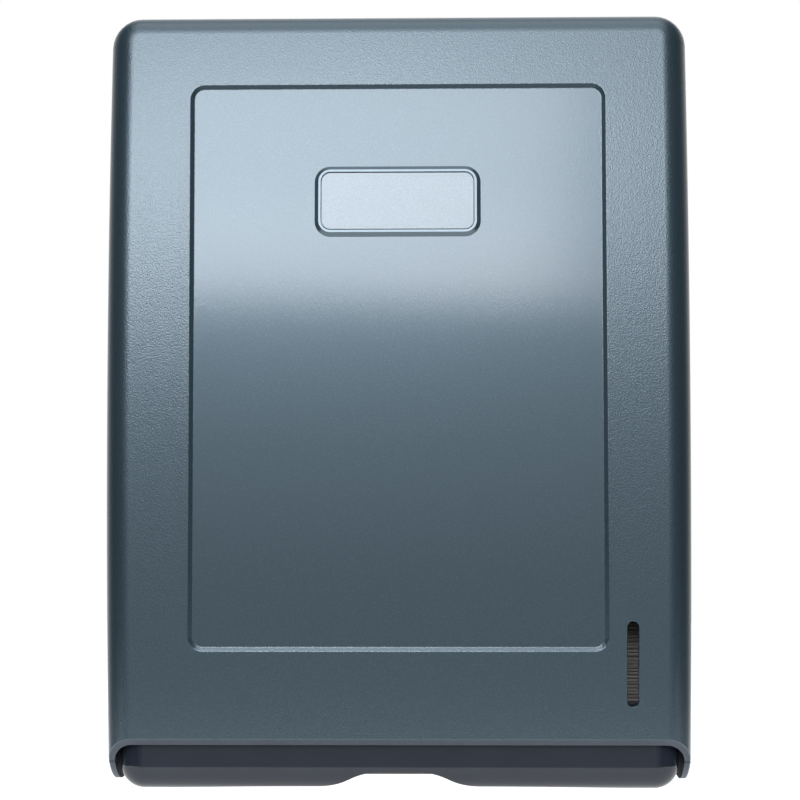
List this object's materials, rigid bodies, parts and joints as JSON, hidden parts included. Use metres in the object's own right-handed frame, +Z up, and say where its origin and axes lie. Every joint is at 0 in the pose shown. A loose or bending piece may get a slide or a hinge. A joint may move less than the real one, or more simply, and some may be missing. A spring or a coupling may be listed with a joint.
{
  "type": "folded towel dispenser",
  "caption": "Wall-hung dispenser for folded paper towels: bowed painted cover with recessed panel, hinged at the bottom, key lock on top, open throat below.",
  "frame": {"origin": "centre of the four wall holes, on the back face that lies against the wall", "axes": "+X to the right as seen from the front, +Y into the wall, so the front faces -Y, +Z up"},
  "size_m": [0.28, 0.125, 0.374],
  "materials": {
    "cover_paint": "moulded ABS, metallic blue-grey paint with a fine grain",
    "chin_plastic": "glossy dark grey moulding",
    "base_plastic": "matt dark grey moulding",
    "guide_plastic": "matt grey moulding",
    "badge_paint": "moulded frame in the cover's paint",
    "badge_silver": "satin silver plate, bare",
    "plated_steel": "bright zinc plate",
    "spring_steel": "oiled spring steel",
    "lock_chrome": "polished chrome plate",
    "paper": "embossed tissue, folded"
  },
  "bodies": {
    "wall_base": {"back_plate": "base_plastic", "discharge_tray": "chin_plastic", "tray_screws": "plated_steel", "stack_guide_left": "guide_plastic", "stack_guide_right": "guide_plastic", "guide_screws": "plated_steel", "towel_stack": "paper", "lock_keeper": "plated_steel", "keeper_screws": "plated_steel", "hinge_pin_left": "plated_steel", "hinge_pin_right": "plated_steel", "hinge_clips": "spring_steel"},
    "cover": {"front_cover": "cover_paint", "badge_frame": "badge_paint", "badge_plate": "badge_silver", "badge_push_nuts": "spring_steel", "lock_barrel": "lock_chrome", "lock_washer": "plated_steel", "lock_nut": "plated_steel"},
    "lock": {"lock_plug": "lock_chrome", "lock_cam": "plated_steel", "cam_screw": "plated_steel"}
  },
  "joints": [
    {"name": "cover_hinge", "type": "hinge", "parent": "wall_base", "child": "cover", "pos_m": [0, -0.014, -0.176], "axis": [1, 0, 0], "range_deg": [0, 90]},
    {"name": "lock_turn", "type": "hinge", "parent": "cover", "child": "lock", "pos_m": [0, -0.038, 0.184], "axis": [0, 0, -1], "range_deg": [0, 90]}
  ]
}
